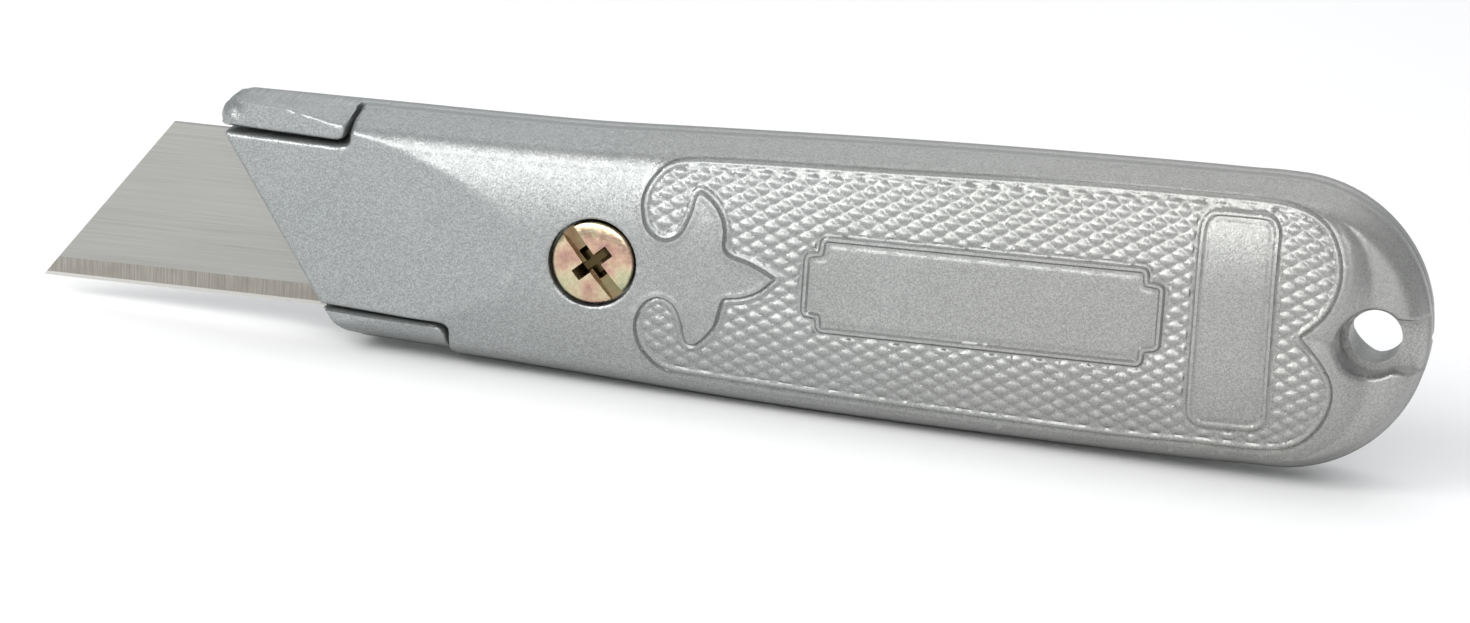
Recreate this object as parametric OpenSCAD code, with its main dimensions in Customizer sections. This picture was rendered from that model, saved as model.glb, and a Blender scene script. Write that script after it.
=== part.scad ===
// Fixed-blade utility knife: two cast handle halves, clamp screw, working blade, spare blades.
// Millimetres, real size. X runs along the knife with the blade tip toward -X, the screw side
// faces -Y, the spine is up (+Z) and the belly touches z = 0. The halves part at y = 0.
// Lengths below are measured from the hook end; every piece is then moved so that x = 0 is
// mid-length.

/* [Handle] */
// Handle length from the hook end to the tail end
handle_length = 136; // [110:0.5:165]
// Radius of the round tail
tail_radius = 16; // [13:0.1:19]
// Height of the tail centre above the floor
tail_centre_z = 17.2; // [14:0.1:22]
// Height of the spine at the nose
spine_nose_z = 26.2; // [22:0.1:32]
// Distance from the nose to the first bend of the spine
spine_bend_x = 46; // [36:0.5:56]
// Height of the spine at the first bend
spine_bend_z = 28.15; // [25:0.05:33]
// Distance from the nose to the second bend of the spine
spine_bend2_x = 88; // [70:0.5:100]
// Height of the spine at the second bend
spine_bend2_z = 31.35; // [28:0.05:36]
// Height of the belly line at the nose
belly_nose_z = 0.9; // [0:0.1:2]
// Distance from the nose to the lowest point of the belly
belly_low_x = 64; // [40:0.5:90]
// Thickness of one half where it is fullest
half_thickness = 9.2; // [7.5:0.1:11.5]
// Thickness of one half at the nose end
nose_thickness = 4.95; // [4.2:0.05:6.5]
// Distance from the nose to the end of the flat nose facet
nose_facet_length = 37; // [28:0.5:48]
// Depth over which the crown rises from the edge to full thickness
crown_height = 12; // [9.5:0.1:12.5]
// Width of the flat land beside the parting line
rim_land = 2.6; // [1.5:0.1:4]
// Depth of the cove between the rim land and the shoulder
shoulder_drop = 1.4; // [0.8:0.1:2]
// Thickness of the shoulder measured from the parting plane
shoulder_depth = 6.7; // [5.5:0.1:8]

/* [Nose] */
// Lean of the slanted nose edge from upright
nose_lean = 36.7; // [25:0.1:45]
// Distance from the hook end to the top corner of the tongue
tongue_x = 2.1; // [0.5:0.1:4]
// Height of the top edge of the tongue
tongue_top_z = 22.3; // [18:0.1:25]
// Gap between the hook and the tongue
hook_gap = 1.15; // [0.6:0.05:2]
// Distance from the hook end to the step behind the hook
hook_length = 16.2; // [10:0.1:24]
// Height of the joint above the lower lip
lip_top_z = 4.6; // [3:0.1:7]
// Distance from the hook end to the back of the lower lip
lip_end_x = 29; // [24:0.1:36]
// Free gap between neighbouring edges of the two halves
edge_gap = 0.35; // [0.3:0.05:0.6]

/* [Blade] */
// Length of the cutting edge
blade_length = 62; // [50:0.5:70]
// Height of the blade
blade_height = 19.05; // [15.8:0.05:22.9]
// Thickness of the blade
blade_thickness = 0.65; // [0.45:0.01:0.9]
// Run of the slanted blade end along the edge
blade_end_run = 14.25; // [10:0.05:18]
// Height of the ground bevel
bevel_height = 1.9; // [1:0.1:3]
// Spacing of the two blade notches
notch_spacing = 11.6; // [9:0.1:14]
// Width of each blade notch
notch_width = 2.7; // [2:0.1:3.6]
// Depth of each blade notch
notch_depth = 2.6; // [1.8:0.1:3.2]
// Reach of the blade tip in front of the hook end
blade_reach = 19; // [10:0.5:26]
// Height of the blade tip above the floor
blade_tip_z = 2.2; // [1.5:0.1:5]
// Slope of the cutting edge against the floor
blade_slope = 1.9; // [0:0.1:4]

/* [Screw] */
// Distance from the hook end to the screw
screw_x = 44.9; // [42:0.1:48]
// Height of the screw centre
screw_z = 14.6; // [11:0.1:18]
// Diameter of the screw head
head_diameter = 9; // [7.5:0.1:10]
// Height of the screw head
head_height = 2.6; // [1.8:0.1:3.4]
// Diameter of the screw shank
shank_diameter = 4.8; // [4:0.1:5.6]
// Length of the shank under the head
shank_length = 12.4; // [9:0.1:13]
// Diameter of the countersunk seat around the head
seat_diameter = 10; // [9.6:0.1:11]
// Width of the driver slot
slot_width = 1.6; // [1:0.1:2.2]
// Width of the cross recess arms
cross_width = 1.3; // [0.9:0.1:1.7]
// Length across the cross recess
cross_length = 3.8; // [3:0.1:5]
// Turn of the slot against the knife axis
slot_turn = 57; // [0:1:90]

/* [Lanyard hole] */
// Distance of the hole centre from the tail end
hole_inset = 5.9; // [5:0.1:8]
// Radius of the lanyard hole
hole_radius = 2.9; // [2:0.05:3.6]
// Radius of the recess around the hole
hole_recess_radius = 4.2; // [3.4:0.1:5.2]
// Thickness of each half at the hole
hole_web = 2.7; // [1.8:0.1:3.6]

/* [Plate] */
// Distance from the hook end to the middle of the sunken plate
plate_x = 87.9; // [84:0.1:92]
// Height of the middle of the sunken plate
plate_z = 16.6; // [14:0.1:19]
// Length of the sunken plate
plate_length = 38.4; // [30:0.1:44]
// Height of the sunken plate
plate_height = 9.6; // [8:0.1:12]
// Depth of the sunken plate
plate_depth = 0.4; // [0.3:0.05:0.8]
// Slope of the plate against the floor
plate_slope = 2.1; // [0:0.1:4]

/* [Inside] */
// Wall between the hollow and the outline
wall = 2.7; // [2:0.1:3.5]
// Depth of the hollow in each half
hollow_depth = 5.4; // [4.6:0.1:5.8]
// Distance from the hook end to the hollow
hollow_x = 51.5; // [50.5:0.1:54]
// Length of the hollow
hollow_length = 67.5; // [64.5:0.5:68.5]
// Number of ribs across the front of the screw-side half
front_ribs = 3; // [2:1:4]
// Clearance between the blade and its seat
seat_clearance = 0.15; // [0.1:0.01:0.3]
// Free play between the blade faces and the halves
face_play = 0.05; // [0.03:0.01:0.1]
// Radius of the locating pegs
peg_radius = 1.5; // [1.2:0.1:1.8]
// Height of the locating pegs
peg_height = 1.8; // [1:0.1:2.5]

/* [Spare blades] */
// Number of spare blades drawn in the hollow
spare_count = 5; // [1:1:5]
// Gap between neighbouring spare blades
spare_gap = 0.08; // [0.05:0.01:0.15]
// Distance from the hook end to the spare blades
spare_x = 53.6; // [52.8:0.1:55]
// Height of the middle of the spare blades above the floor, at their front end
spare_mid_z = 14.5; // [13.5:0.1:15.5]
// Clearance between the parting plane and the first spare blade
spare_clearance = 0.54; // [0.4:0.01:0.7]

/* [Part] */
// Which sub-part to draw

/* [Hidden] */
$fn = 64;
far = 60;
overhang = 6;
tail_x = handle_length - tail_radius;
hole_x = handle_length - hole_inset;
hole_z = tail_centre_z + 0.2;
seat_floor = half_thickness - 0.2 - head_height;
shank_end = shank_length - seat_floor;
bore_radius = shank_diameter / 2 + 0.3;
thread_radius = shank_diameter / 2 + 0.08;
boss_radius = thread_radius + 1.9;
half_blade = blade_thickness / 2;
facet_turn = atan((half_thickness - nose_thickness) / nose_facet_length);
lip_front_x = tongue_x + (tongue_top_z - lip_top_z) * tan(nose_lean);

// slope of the line from a point to its tangent on the tail circle, side = 1 spine, -1 belly
function tail_slope(x, z, side) =
    atan2(tail_centre_z - z, tail_x - x)
    + side * asin(tail_radius / norm([tail_x - x, tail_centre_z - z]));
spine_end_slope = tail_slope(spine_bend2_x, spine_bend2_z, 1);
belly_end_slope = tail_slope(belly_low_x, 0, -1);
spine = [[-overhang, spine_nose_z - overhang * (spine_bend_z - spine_nose_z) / spine_bend_x],
         [spine_bend_x, spine_bend_z], [spine_bend2_x, spine_bend2_z],
         [tail_x - tail_radius * sin(spine_end_slope), tail_centre_z + tail_radius * cos(spine_end_slope)]];
belly = [[-overhang, belly_nose_z * (1 + overhang / belly_low_x)], [belly_low_x, 0],
         [tail_x + tail_radius * sin(belly_end_slope), tail_centre_z - tail_radius * cos(belly_end_slope)]];

// thickness of a half at distance h inside the outline
function crown(h) = half_thickness
    - (half_thickness - shoulder_depth) * pow((crown_height - h) / (crown_height - shoulder_drop), 2);
crown_steps = 8;
// profile of the crown: [distance inside the outline, thickness]
profile = concat([[0, rim_land], [0.25 * shoulder_drop, rim_land + 0.18 * (shoulder_depth - rim_land)],
                  [0.6 * shoulder_drop, rim_land + 0.55 * (shoulder_depth - rim_land)]],
                 [for (i = [0:crown_steps]) let (h = shoulder_drop
                  + (crown_height - shoulder_drop) * i / crown_steps) [h, crown(h)]]);

// move a piece from the hook end as origin to mid-length as origin
module placed() translate([-(handle_length - blade_reach) / 2, 0, 0]) children();

// flat shape in the side view, from y = a to y = b
module side(a, b) translate([0, b, 0]) rotate([90, 0, 0]) linear_extrude(height = b - a) children();

// stations round the outline: [x, z, inward x, inward z]
arc_steps = 20;
stations = concat(
    [for (i = [0:2]) [spine[i][0], spine[i][1], 0, -1]],
    [for (i = [0:arc_steps]) let (a = 90 + spine_end_slope
        - i * (180 + spine_end_slope - belly_end_slope) / arc_steps)
        [tail_x + tail_radius * cos(a), tail_centre_z + tail_radius * sin(a), -cos(a), -sin(a)]],
    [[spine_bend2_x, (spine_bend2_x - belly_low_x) * tan(belly_end_slope), 0, 1],
     [belly_low_x, 0, 0, 1], [-overhang, belly[0][1], 0, 1]]);
rings = concat([[0, 0]], profile);
count = len(stations);
last = len(rings) - 1;

function at(k, j) = k * count + j;
function quad(a, b, c, d) = [[a, c, b], [a, d, c]];
function flat(l) = [for (a = l) for (b = a) b];

// outer shape of the screw-side half before its edges are trimmed
module crowned_half() {
    difference() {
        polyhedron(
            points = flat([for (r = rings) [for (s = stations)
                [s[0] + s[2] * r[0], -r[1], s[1] + s[3] * r[0]]]]),
            faces = flat(concat(
                [for (k = [0:last - 1]) for (j = [0:count - 2])
                    quad(at(k, j), at(k + 1, j), at(k + 1, j + 1), at(k, j + 1))],
                [for (k = [0:last - 1])
                    quad(at(k, count - 1), at(k + 1, count - 1), at(k + 1, 0), at(k, 0))],
                [for (j = [0:floor(count / 2) - 1]) let (m = count - 1 - j)
                    j + 1 < m - 1 ? quad(at(0, j), at(0, j + 1), at(0, m - 1), at(0, m))
                    : [[at(0, j), at(0, m), at(0, j + 1)]]],
                [for (j = [0:floor(count / 2) - 1]) let (m = count - 1 - j)
                    j + 1 < m - 1 ? quad(at(last, j), at(last, m), at(last, m - 1), at(last, j + 1))
                    : [[at(last, j), at(last, j + 1), at(last, m)]]])));
        // flat nose facet
        translate([nose_facet_length, -half_thickness, 0]) rotate([0, 0, -facet_turn])
            translate([-2 * far, -far, -far / 2]) cube([2 * far, far, 2 * far]);
    }
}

// sunken plate with stepped ends on the side of the grip
module plate_shape() translate([plate_x, plate_z]) rotate(plate_slope) {
    square([plate_length - 3.4, plate_height], center = true);
    square([plate_length, plate_height - 3.8], center = true);
}

// outer skin of one half with the sunken plate
module skinned_half() {
    difference() {
        crowned_half();
        side(-half_thickness - 1, plate_depth - half_thickness) plate_shape();
    }
}

// point on the slanted nose edge at height z, shifted along X
function nose_edge(z, shift) = [tongue_x + (tongue_top_z - z) * tan(nose_lean) + shift, z];

// lanyard hole, its recess and the open channel toward the tail
module hole_cut() {
    translate([hole_x, 1, hole_z]) rotate([90, 0, 0]) cylinder(r = hole_radius, h = far);
    translate([hole_x, -hole_web, hole_z]) rotate([90, 0, 0]) cylinder(r = hole_recess_radius, h = far);
    translate([hole_x, -hole_web - far, hole_z - hole_radius])
        cube([hole_inset - 0.9, far, 2 * hole_radius]);
}

// hollow between the walls, cut to depth d on the -Y side
module hollow(d) {
    side(-d, 1) intersection() {
        polygon(concat([for (p = spine) [p[0], p[1] - wall]],
                       [for (i = [2:-1:0]) [belly[i][0], belly[i][1] + wall]]));
        translate([hollow_x, -10]) square([hollow_length, far]);
    }
}

// place a shape drawn in the blade plane at the working position
module at_blade() translate([-blade_reach, 0, blade_tip_z]) rotate([0, -blade_slope, 0]) children();

// outline of the blade, grown by g, with or without its notches
module blade_shape(g, notched) {
    k = g * (blade_end_run + norm([blade_end_run, blade_height])) / blade_height;
    t = g * (norm([blade_end_run, blade_height]) - blade_end_run) / blade_height;
    difference() {
        polygon([[-k, -g], [blade_length + k, -g], [blade_length - blade_end_run + t, blade_height + g],
                 [blade_end_run - t, blade_height + g]]);
        if (notched) for (s = [-1, 1])
            translate([blade_length / 2 + s * notch_spacing / 2 - notch_width / 2, blade_height - notch_depth])
                square([notch_width, notch_depth + 1]);
    }
}

module blade_solid() {
    lean = atan((half_blade - 0.02) / bevel_height);
    difference() {
        side(-half_blade, half_blade) blade_shape(0, true);
        for (s = [-1, 1]) translate([-10, s * 0.02, 0]) rotate([-s * lean, 0, 0])
            translate([0, s > 0 ? 0 : -3, -3]) cube([blade_length + 20, 3, 3 + bevel_height / cos(lean) + 0.4]);
    }
}

module blade_seat(y0, y1) at_blade() side(y0, y1) blade_shape(seat_clearance, false);

// the two lugs that stand in the blade notches
module lugs(g) at_blade() for (s = [-1, 1])
    translate([blade_length / 2 + s * notch_spacing / 2, 0, blade_height - notch_depth / 2 + 0.25])
        cube([notch_width - 0.5 + 2 * g, 2.4 + 2 * g, notch_depth - 0.5 + 2 * g], center = true);

// places of the two locating pegs
pegs = [[tail_x + 3.4, tail_centre_z + 9.5], [tail_x + 3.4, tail_centre_z - 9.5]];

module handle_screw_side() {
    e = edge_gap;
    color([0.70, 0.71, 0.72]) placed() difference() {
        intersection() {
            skinned_half();
            side(-far / 2, 1) polygon([nose_edge(tongue_top_z, 0), [hook_length - 1.2, tongue_top_z],
                [hook_length - 0.2, tongue_top_z + 0.6], [hook_length + 0.1, tongue_top_z + 1.6],
                [hook_length + 0.5, tongue_top_z + 3.2], [hook_length + 1.5, tongue_top_z + 4.8],
                [hook_length + 2.2, far], [handle_length + 5, far], [handle_length + 5, -5],
                [lip_end_x + e, -5], [lip_end_x + e, lip_top_z - 0.9], [lip_end_x - 0.3 + e, lip_top_z],
                [lip_end_x - 1.2, lip_top_z + 0.3], nose_edge(lip_top_z + 0.1, 0)]);
        }
        hole_cut();
        hollow(hollow_depth);
        // seat and bore of the screw
        translate([screw_x, -seat_floor, screw_z]) rotate([90, 0, 0]) cylinder(d = seat_diameter, h = far);
        translate([screw_x, 1, screw_z]) rotate([90, 0, 0]) cylinder(r = bore_radius, h = far);
        blade_seat(-half_blade - face_play, 1);
        lugs(0.3);
        // coring between the ribs that press on the blade
        for (i = [0:front_ribs - 1]) side(-3.4, 1) polygon([
            [20 + i * 6.2 - 3, 17.5], [20 + i * 6.2 + 1, 17.5], [20 + i * 6.2 + 6, 9], [20 + i * 6.2 + 2, 9]]);
        for (p = pegs) translate([p[0], 1, p[1]]) rotate([90, 0, 0])
            cylinder(r = peg_radius + 0.3, h = peg_height + 1.5);
    }
}

module handle_hook_side() {
    e = edge_gap;
    hook_z = tongue_top_z + hook_gap;
    color([0.66, 0.67, 0.69]) placed() difference() {
        union() {
            // far half
            intersection() {
                mirror([0, 1, 0]) skinned_half();
                side(-1, far / 2) polygon([[0, hook_z + 1.5], [0.5, hook_z + 0.4], [1.4, hook_z - 0.1],
                    nose_edge(tongue_top_z, 0), nose_edge(1.6, 0), nose_edge(1, 0.5), [lip_front_x + 4, -5],
                    [handle_length + 5, -5], [handle_length + 5, far], [2.4, far], [0.9, spine_nose_z - 0.4],
                    [0.2, spine_nose_z - 1.2]]);
            }
            // hook over the tongue and lip under it, reaching to the screw side
            intersection() {
                crowned_half();
                side(-far / 2, 1) union() {
                    polygon([[0, hook_z + 1.5], [0.5, hook_z + 0.4], [1.4, hook_z],
                        [hook_length - 1.4 - e, hook_z], [hook_length - 0.7 - e, hook_z + 0.5],
                        [hook_length + 0.1 - e, hook_z + 2.05], [hook_length + 1.1 - e, hook_z + 3.65],
                        [hook_length + 1.8 - e, far], [2.4, far], [0.9, spine_nose_z - 0.4],
                        [0.2, spine_nose_z - 1.2]]);
                    polygon([nose_edge(lip_top_z - e, 0), nose_edge(1.6, 0), nose_edge(1, 0.5),
                        [lip_front_x + 4, -5], [lip_end_x, -5], [lip_end_x, lip_top_z - 1 - e],
                        [lip_end_x - 0.9, lip_top_z - e]]);
                }
            }
            for (p = pegs) translate([p[0], 1, p[1]]) rotate([90, 0, 0])
                cylinder(r = peg_radius, h = peg_height + 1);
        }
        mirror([0, 1, 0]) hole_cut();
        difference() {
            mirror([0, 1, 0]) hollow(hollow_depth);
            translate([0, spare_clearance + spare_count * (blade_thickness + spare_gap), 0]) spare_ribs();
        }
        // blind threaded bore of the screw boss
        translate([screw_x, shank_end + 1.2, screw_z]) rotate([90, 0, 0]) cylinder(r = thread_radius, h = far);
        difference() {
            blade_seat(-1, half_blade + face_play);
            lugs(0);
        }
        // opening for the blade under the hook
        at_blade() side(-half_blade - face_play - 0.1, 0.01)
            translate([0, blade_height - 0.5]) square([blade_length / 2, 0.9]);
        // coring in front of the boss, behind the blade
        for (i = [0:front_ribs - 1]) side(-1, 3.6) polygon([
            [20 + i * 6.2 - 3, 17.5], [20 + i * 6.2 + 1, 17.5], [20 + i * 6.2 + 6, 9], [20 + i * 6.2 + 2, 9]]);
    }
}

// low ribs on the floor of the hollow that carry the spare blades
module spare_ribs() for (i = [0:2])
    translate([hollow_x + 12 + i * 20, 0, 2]) cube([1.6, far, 26]);

module clamp_screw() {
    head = head_diameter / 2;
    color([0.80, 0.68, 0.42]) placed() translate([screw_x, -seat_floor - 0.05, screw_z]) rotate([90, 0, 0])
        difference() {
            union() {
                rotate_extrude() polygon([[0, 0], [head, 0], [head, head_height - 0.7],
                    [head - 0.25, head_height - 0.35], [head - 0.7, head_height - 0.15],
                    [head / 2, head_height], [0, head_height + 0.05]]);
                translate([0, 0, -shank_length + 0.8]) cylinder(d = shank_diameter, h = shank_length - 0.4);
                translate([0, 0, -shank_length]) cylinder(d = shank_diameter - 1, h = 2);
            }
            rotate(-slot_turn) translate([-head - 1, -slot_width / 2, head_height - 1.1])
                cube([2 * head + 2, slot_width, 3]);
            for (a = [0, 90]) rotate(a - slot_turn) translate([-cross_length / 2, -cross_width / 2, head_height - 2])
                cube([cross_length, cross_width, 3]);
        }
}

module working_blade() color([0.78, 0.79, 0.80]) placed() at_blade() blade_solid();

// spare blade number i, counted from the opening of the hollow
module spare(i) color([0.74, 0.75, 0.76]) placed()
    translate([spare_x, spare_clearance + (i - 1) * (blade_thickness + spare_gap) + half_blade,
               spare_mid_z - blade_height / 2])
        rotate([0, -blade_slope, 0]) blade_solid();

module spare_blade_1() if (spare_count >= 1) spare(1);
module spare_blade_2() if (spare_count >= 2) spare(2);
module spare_blade_3() if (spare_count >= 3) spare(3);
module spare_blade_4() if (spare_count >= 4) spare(4);
module spare_blade_5() if (spare_count >= 5) spare(5);

handle_screw_side();
handle_hook_side();
clamp_screw();
working_blade();
spare_blade_1();
spare_blade_2();
spare_blade_3();
spare_blade_4();
spare_blade_5();
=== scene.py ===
"""Visual model of the fixed-blade utility knife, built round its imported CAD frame."""

import math

import bmesh
import bpy
import numpy as np
from mathutils import Matrix, Vector


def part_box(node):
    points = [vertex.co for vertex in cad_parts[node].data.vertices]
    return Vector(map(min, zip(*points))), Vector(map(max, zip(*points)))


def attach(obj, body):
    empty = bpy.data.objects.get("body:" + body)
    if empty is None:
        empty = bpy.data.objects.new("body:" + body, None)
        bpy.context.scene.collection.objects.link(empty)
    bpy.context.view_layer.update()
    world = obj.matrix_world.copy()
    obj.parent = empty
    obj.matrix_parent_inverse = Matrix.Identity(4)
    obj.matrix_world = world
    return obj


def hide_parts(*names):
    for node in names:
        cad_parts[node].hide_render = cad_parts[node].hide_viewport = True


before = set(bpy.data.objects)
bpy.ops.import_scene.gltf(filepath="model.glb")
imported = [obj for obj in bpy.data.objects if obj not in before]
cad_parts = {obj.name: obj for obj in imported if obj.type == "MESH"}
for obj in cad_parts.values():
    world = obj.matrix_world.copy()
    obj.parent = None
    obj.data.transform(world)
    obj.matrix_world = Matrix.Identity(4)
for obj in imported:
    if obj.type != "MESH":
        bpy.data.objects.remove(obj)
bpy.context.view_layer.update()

MM = 0.001
HOOK_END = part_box("handle_hook_side")[0].x / MM  # x of the hook's end in the frame, in mm
SLOPE = math.radians(2.1)  # slope of the plates and of the grain

# ---------------------------------------------------------------- outlines, mm
# x is measured from the hook end, z from the floor.

HALF = 9.2  # half of the handle's thickness, at the end of the nose facet
FULL = 9.08  # height of the smooth crown where it is fullest
TAIL = (120.02, 17.2, 15.96)  # centre and radius of the round tail
SPINE_END, BELLY_END = 119.2, 120.0  # where the spine and the belly meet the tail's arc
SPINE = np.array([
    (0, 26.2), (2.9, 26.32), (8.6, 26.57), (14.3, 26.8), (20, 27.05), (31.3, 27.5), (42.6, 28.05),
    (53.8, 28.95), (64.9, 29.85), (75.9, 30.7), (86.9, 31.45), (97.9, 32.1), (108.8, 32.68),
    (114.5, 32.93), (119.3, 33.15), (136, 33.15)])
BELLY = np.array([
    (0, 0.95), (17, 0.75), (34, 0.55), (45.6, 0.35), (57, 0.1), (68, 0.0), (79.5, 0.08),
    (90.6, 0.28), (101.7, 0.52), (112.7, 0.88), (120.3, 1.24), (136, 1.24)])
HOLE = (130.1, 17.4)
HOLE_RADIUS, RECESS_RADIUS, RECESS_ROLL = 2.9, 3.75, 0.45
SCREW = (44.9, 14.6)
SEAT_RADIUS, SEAT_ROLL = 4.92, 0.2
NOSE_TOP, NOSE_LEAN = (2.1, 22.3), math.tan(math.radians(36.7))  # a point on the slanted edge, its lean


def spline(points, closed=False, steps=8, sharp=()):
    """Points of a smooth curve through the given points, straight-ended at the sharp ones."""
    p = [np.array(q, float) for q in points]
    n = len(p)
    out = []
    for i in range(n if closed else n - 1):
        a, b = p[i], p[(i + 1) % n]
        before = p[i - 1] if (closed or i > 0) and i not in sharp else a
        after = p[(i + 2) % n] if (closed or i < n - 2) and (i + 1) % n not in sharp else b
        ma = (b - before) * (0.5 if before is not a else 0.8)
        mb = (after - a) * (0.5 if after is not b else 0.8)
        for k in range(steps):
            t = k / steps
            out.append((2 * t**3 - 3 * t**2 + 1) * a + (t**3 - 2 * t**2 + t) * ma
                       + (3 * t**2 - 2 * t**3) * b + (t**3 - t**2) * mb)
    if not closed:
        out.append(p[-1])
    return np.array(out)


SPINE = spline(SPINE, steps=6)
BELLY = spline(BELLY, steps=6)


def arc(cx, cz, r, a0, a1, steps=12):
    """Points of an arc from angle a0 to a1, in degrees."""
    a = np.radians(np.linspace(a0, a1, steps + 1))
    return np.stack([cx + r * np.cos(a), cz + r * np.sin(a)], 1)


def spine_z(x):
    return np.interp(x, SPINE[:, 0], SPINE[:, 1])


def belly_z(x):
    return np.interp(x, BELLY[:, 0], BELLY[:, 1])


def between(curve, x0, x1):
    """Part of a spine or belly curve between two values of x, ends included."""
    inner = curve[(curve[:, 0] > x0 + 0.05) & (curve[:, 0] < x1 - 0.05)]
    z = np.interp([x0, x1], curve[:, 0], curve[:, 1])
    return np.vstack([[(x0, z[0])], inner, [(x1, z[1])]])


def rounded(points, radii, steps=5):
    """Polygon whose corners are rounded off, each by its own radius."""
    out = []
    n = len(points)
    for i, (p, r) in enumerate(zip(points, radii)):
        p = np.array(p, float)
        if not r:
            out.append(p)
            continue
        a, b = np.array(points[i - 1], float) - p, np.array(points[(i + 1) % n], float) - p
        a, b = a / np.linalg.norm(a) * r, b / np.linalg.norm(b) * r
        for k in range(steps + 1):
            t = k / steps
            out.append(p + a * (1 - t) ** 2 + b * t**2)
    return np.array(out)


def nose(z, shift=0.0):
    """Point on the slanted nose edge at height z."""
    return (NOSE_TOP[0] + (NOSE_TOP[1] - z) * NOSE_LEAN + shift, z)


TAIL_ARC = arc(*TAIL, 92, -89, 60)
TONGUE = [
    nose(5.1, -0.45), nose(22.6, -0.45), (14.9, 23.1), (15.9, 23.35), (16.1, 23.85), (16.15, 25.0),
    (16.2, 26.0), (16.4, spine_z(16.4))]
TONGUE = np.vstack([rounded(TONGUE, [0, 0.5, 0.7, 0.4, 0, 0, 0, 0])[:-1], [TONGUE[-1]]])
NOTCH = np.array([(29.35, belly_z(29.35)), (29.35, 3.9), (29.25, 4.6), (28.8, 5.0), (27.9, 5.15)])
NEAR = np.vstack([
    TONGUE, between(SPINE, 16.5, SPINE_END), TAIL_ARC, between(BELLY, 29.45, BELLY_END)[::-1], NOTCH])
FAR_NOSE = np.array([
    (18.3, belly_z(18.3)), nose(1.7, -0.3), nose(22.3, -0.3), (1.5, 23.3), (0.85, 23.5), (0.55, 23.95),
    (0.5, 24.6), (0.65, 25.1), (1.0, 25.55), (1.5, 25.88), (2.1, 26.1), (2.9, spine_z(2.9))])
FAR = np.vstack([
    FAR_NOSE, between(SPINE, 3.0, SPINE_END), TAIL_ARC, between(BELLY, 18.4, BELLY_END)[::-1]])
HOOK_UNDER = np.array([
    (15.75, spine_z(15.75)), (15.65, 26.1), (15.6, 25.3), (15.5, 24.35), (15.3, 23.95), (14.8, 23.7),
    (14.0, 23.62), (1.35, 23.28), (0.95, 23.34), (0.7, 23.55), (0.6, 23.9), (0.6, 24.5), (0.75, 25.0),
    (1.05, 25.45), (1.5, 25.8), (2.1, 26.05)])
HOOK = np.vstack([HOOK_UNDER, between(SPINE, 3.0, 15.7)])
LIP_INSET = 0.5  # the lip's lower edge stays this far above the belly
LIP_TOP = np.array([
    (18.9, belly_z(18.9) + LIP_INSET), (17.9, 1.5), nose(2.0, -0.2), nose(4.65, -0.45), (27.7, 4.7),
    (28.4, 4.45), (28.85, 3.9), (29.0, 3.1), (29.0, belly_z(29.0) + LIP_INSET)])
LIP = np.vstack([LIP_TOP, (between(BELLY, 19.1, 28.9) + (0, LIP_INSET))[::-1]])

PANEL_POINTS = [
    (53.6, 27.15), (60, 27.85), (76, 29.05), (90, 30.15), (99, 30.8), (109.2, 31.35), (116.0, 31.65),
    (119.6, 31.55), (122.4, 30.8), (124.4, 29.3), (125.8, 26.6), (126.1, 23.6), (125.0, 20.2),
    (122.6, 17.5), (125.2, 14.9), (126.6, 12.2), (126.2, 8.8), (124.0, 5.6), (120.2, 4.1),
    (112.3, 3.75), (102, 3.25), (78, 3.05), (57, 3.2), (53.6, 3.5), (51.6, 4.9), (50.45, 6.8),
    (50.2, 8.9), (50.9, 10.8), (52.2, 11.8), (53.5, 11.7), (54.6, 10.9), (55.4, 9.2), (56.0, 7.2),
    (57.2, 7.2), (58.9, 9.4), (59.35, 11.4), (59.8, 12.7), (61.5, 13.1), (63.4, 14.0), (65.1, 15.7),
    (63.3, 16.55), (61.7, 17.1), (60.0, 17.5), (59.2, 18.4), (59.05, 20.3), (58.5, 21.8), (57.5, 23.0),
    (56.1, 23.85), (55.55, 23.3), (55.2, 21.3), (54.2, 19.0), (52.4, 18.2), (50.6, 19.2), (49.75, 21.4),
    (49.9, 23.6), (51.3, 25.9)]
TAIL_CUSP, ORNAMENT_TIP = PANEL_POINTS.index((122.6, 17.5)), PANEL_POINTS.index((65.1, 15.7))
PANEL = spline(PANEL_POINTS, closed=True, steps=6, sharp=(TAIL_CUSP, ORNAMENT_TIP))
LONG_PLATE = rounded([
    (70.3, 20.65), (105, 22.2), (105.2, 20.75), (106.9, 20.65), (107.1, 14.3), (105.5, 13.9),
    (105.4, 12.35), (70.7, 11.05), (70.5, 12.5), (68.9, 12.6), (68.7, 18.7), (70.2, 19.0)],
    [0.25] * 12, steps=3)
UPRIGHT = rounded([(110.65, 29.5), (118.6, 29.9), (119.7, 6.6), (111.6, 6.2)], [1.9] * 4)


def nearest(poly, x, z, closed=True):
    """Distance from each point to a line, the nearest place on it, and whether it lies inside."""
    best = np.full(x.shape, 1e9)
    px, pz = np.zeros_like(x), np.zeros_like(z)
    inside = np.zeros(x.shape, bool)
    n = len(poly)
    for i in range(n if closed else n - 1):
        (ax, az), (bx, bz) = poly[i], poly[(i + 1) % n]
        dx, dz = bx - ax, bz - az
        length = dx * dx + dz * dz
        if length < 1e-12:
            continue
        t = np.clip(((x - ax) * dx + (z - az) * dz) / length, 0, 1)
        qx, qz = ax + t * dx, az + t * dz
        d = (x - qx) ** 2 + (z - qz) ** 2
        closer = d < best
        best[closer], px[closer], pz[closer] = d[closer], qx[closer], qz[closer]
        if closed and az != bz:
            inside ^= ((az > z) != (bz > z)) & (x < (z - az) / (bz - az) * dx + ax)
    return np.sqrt(best), px, pz, inside


def signed(poly, x, z):
    """Distance inside a closed outline, negative outside."""
    d, _, _, inside = nearest(poly, x, z)
    return np.where(inside, d, -d)


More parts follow.
